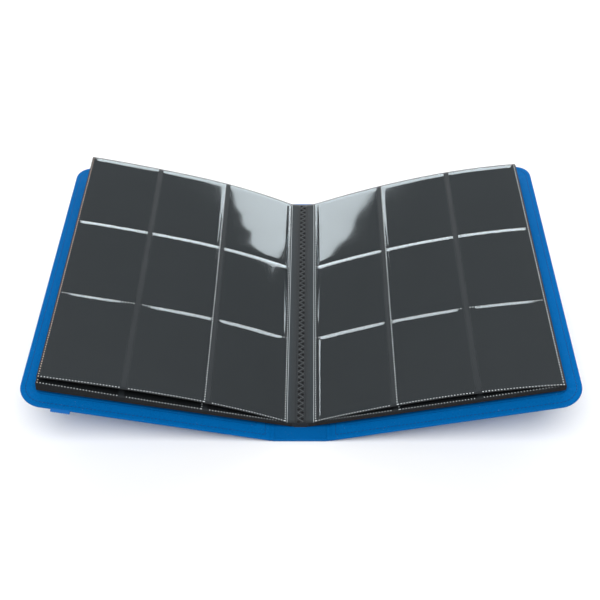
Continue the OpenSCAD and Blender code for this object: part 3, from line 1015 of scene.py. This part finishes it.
def zigzag_seam():
    """The thread's x is the arcsine of a sine, which is a triangle wave, and it dips by
    the sixth power of that sine. Flat beads of painted shade sit in the notches, on alternate sides."""
    y = np.linspace(LEAF_LOW + 1.2, LEAF_HIGH - 1.2, 1400)
    phase = (y - LEAF_LOW) / ZIGZAG_PITCH * 2 * np.pi
    x = ZIGZAG_HALF * np.arcsin(0.96 * np.sin(phase)) / np.arcsin(0.96)
    z = 9.31 - 0.16 * np.abs(np.sin(phase)) ** 6
    thread = tube(np.stack([x, y, z], -1), 0.36)
    tips = np.arange(LEAF_LOW + ZIGZAG_PITCH / 4, LEAF_HIGH - 2, ZIGZAG_PITCH / 2)
    way = np.where(np.arange(len(tips)) % 2 == 0, -1.0, 1.0)
    spots = np.stack([way * 0.75 * ZIGZAG_HALF, tips, np.full(len(tips), 9.16)], -1)
    along, upward = np.tile([1.0, 0, 0], (len(tips), 1)), np.tile([0, 0, 1.0], (len(tips), 1))
    # Flat near-black beads in the notches are painted shade.
    shade_beads = scatter(*bead(2.7, 2.6, 0.09), spots, along, upward)
    points, blocks, marks = join_parts([(*thread, 0), (*shade_beads, 1)])
    return put_mesh("zigzag_thread", points, blocks, [seam_black, painted_seam_shade], marks)


thread = turn_outward(zigzag_seam())
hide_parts("gutter_seam")
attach(thread, "spine")

# %% [markdown]
# ## Binding tape
# The stack stands on a strip of tape that is glued to the spine's lining. The
# tape is a low slab with soft edges and a slightly wavy border.

# %% Binding tape
def binding_tape():
    """A cross-section with rounded shoulders, carried along the spine. Its half width
    wanders by a tenth of a millimetre."""
    y = np.linspace(LEAF_LOW, LEAF_HIGH, 120)
    half = 5.9 + 0.1 * ripple(y, 0 * y, 9, 30.0)
    u = np.linspace(-1, 1, 15)
    shoulder = (1 - np.abs(u) ** 8) * 0.86 + 0.02
    X = half[None, :] * u[:, None]
    Y = np.broadcast_to(y[None, :], X.shape)
    high = np.stack([X, Y, np.broadcast_to(2.8 + shoulder[:, None], X.shape)], -1)
    low = np.stack([X, Y, np.full(X.shape, 2.79)], -1)
    points, faces, _ = two_layers(low, high, False)
    return put_mesh("binding_tape", points, faces, [tape_black])


tape = turn_outward(binding_tape())
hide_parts("binding_strip")
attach(tape, "spine")

# %% [markdown]
# ## Elastic strap
# A flat ribbed elastic runs along the outside of the front cover. Its ends fold
# round the cover's edges and are tucked into the hem. The middle moves with the
# strap.

# %% Strap
STRAP_MID, STRAP_HALF = BOARD_OUT - 37.5, 8.25
STRAP_LOW, STRAP_HIGH = -2.85, -1.75


def strap_piece(name, path):
    """A flat band along a path in the board's (y, z) plane. Eleven ribs run along it,
    as a cosine over the width, and the borders are thinner."""
    u = np.linspace(-1, 1, 67)
    ribs = 0.40 + 0.12 * np.cos(u * np.pi * 11) - 0.16 * u ** 12
    ahead = np.gradient(path, axis=0)
    ahead /= np.linalg.norm(ahead, axis=1, keepdims=True)
    across = np.stack([-ahead[:, 1], ahead[:, 0]], -1)
    layers = []
    for way in (-1, 1):
        yz = path[None] + way * ribs[:, None, None] * across[None]
        x = np.broadcast_to((STRAP_MID + STRAP_HALF * u)[:, None], yz.shape[:2])
        layers.append(board_to_world("front", np.stack([x, yz[..., 0], yz[..., 1]], -1)))
    points, faces, _ = two_layers(*layers, False)
    obj = turn_outward(put_mesh(name, points, faces, [elastic_blue]))
    return obj


def strap_end_path(way):
    """From 60 mm out along the cover's outside, round its edge in a half circle and
    into the hem: a straight run, then an arc whose radius is half its height."""
    z0 = (STRAP_LOW + STRAP_HIGH) / 2
    run = np.linspace(60, HALF_LEN + 0.4, 46)
    flat = np.stack([run, np.full(len(run), z0)], -1)
    angle = np.linspace(-np.pi / 2, np.pi / 2, 14)[1:]
    rise = (0.5 - z0) / 2
    bend = np.stack([HALF_LEN + 0.4 + 1.4 * np.cos(angle), z0 + rise + rise * np.sin(angle)], -1)
    tuck = np.stack([np.linspace(HALF_LEN + 0.2, HALF_LEN - 0.9, 4), np.full(4, 0.5)], -1)
    path = np.concatenate([flat, bend, tuck])
    path[:, 0] *= way
    return path


middle = np.stack([np.linspace(-60.3, 60.3, 40), np.full(40, (STRAP_LOW + STRAP_HIGH) / 2)], -1)
band = strap_piece("strap_middle", middle)
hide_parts("strap_band")
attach(band, "strap")
for way, label in ((-1, "near"), (1, "far")):
    end = strap_piece(f"strap_{label}_end", strap_end_path(way))
    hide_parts("strap_ends", "strap_band")
    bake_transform(end)
print("strap in three pieces")

# %% [markdown]
# ## Finishes for the CAD's own pieces
# The lining sheets and the boards keep their CAD shape, which is flat on the real
# binder too. Each gets its finish in place of the plain CAD colour.

# %% CAD pieces that stay
for part in ("spine", "front", "back"):
    for kind, finish in (("lining", lining_blue), ("board", board_grey)):
        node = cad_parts[f"{part}_{kind}"]
        node.data.materials.clear()
        node.data.materials.append(finish)
        print(node.name, "is", finish.name)

# %% [markdown]
# ## Floor and light
# The binder lies on a plain pale floor. A wide soft light hangs overhead, a little
# toward the camera, and a long low panel stands behind. The panel is what the film
# mirrors along its welds. Two small strips stand at the sides, and the film's ramps
# beside the gutter mirror those. The sky is dim, so the film stays dark elsewhere.

# %% Floor
def floor():
    """A square 12 m wide, a third of a millimetre under the binder."""
    material, tree, shader = new_finish("pale floor", (0.86, 0.87, 0.88), 0.9, Specular_IOR_Level=0.1)
    marks = place_group(tree, handling, Cloud_Scale=3.0, Speck_Scale=300.0)
    faint = math_node(tree, "MULTIPLY", marks.outputs["Clouds"], 0.05)
    tone = blend_colours(tree, faint, (0.90, 0.905, 0.91), (0.84, 0.845, 0.85))
    tree.links.new(tone, shader.inputs["Base Color"])
    corners = np.array([[x * 6000.0, y * 6000.0, -0.3] for x, y in ((-1, -1), (1, -1), (1, 1), (-1, 1))])
    obj = put_mesh("floor", corners, [np.array([[0, 1, 2, 3]])], [material], smooth=False)
    return obj


floor()

# %% Lights
def panel_light(name, place, target, width, height, watts):
    """A rectangular soft light at place that faces target, both in metres. Its Z axis
    points from target to place, and its X axis is straight up crossed with Z."""
    light = bpy.data.lights.new(name, "AREA")
    light.shape, light.size, light.size_y, light.energy = "RECTANGLE", width, height, watts
    obj = bpy.data.objects.new(name, light)
    bpy.context.scene.collection.objects.link(obj)
    z = np.array(place, float) - np.array(target, float)
    z /= np.linalg.norm(z)
    x = np.cross([0, 0, 1.0], z)
    x /= np.linalg.norm(x)
    matrix = np.eye(4)
    matrix[:3, 0], matrix[:3, 1], matrix[:3, 2], matrix[:3, 3] = x, np.cross(z, x), z, place
    obj.matrix_world = Matrix([list(map(float, row)) for row in matrix])
    obj.visible_camera = False
    return obj


panel_light("overhead", (0.0, -0.9, 2.4), (0, 0, 0), 2.6, 1.6, 62.0)
panel_light("back panel", (0.0, 2.3, 0.85), (0, 0, 0.45), 3.3, 1.5, 72.0)
for way in (-1, 1):
    panel_light("side strip", (way * 2.3, 1.8, 0.55), (0, 0, 0.1), 0.55, 0.9, 7.0)
world = bpy.data.worlds.new("dim sky")
world.use_nodes = True
sky = world.node_tree.nodes["Background"].inputs
sky["Color"].default_value, sky["Strength"].default_value = (0.98, 0.99, 1.0, 1), 0.35
bpy.context.scene.world = world
bpy.context.scene.view_settings.view_transform = "Standard"
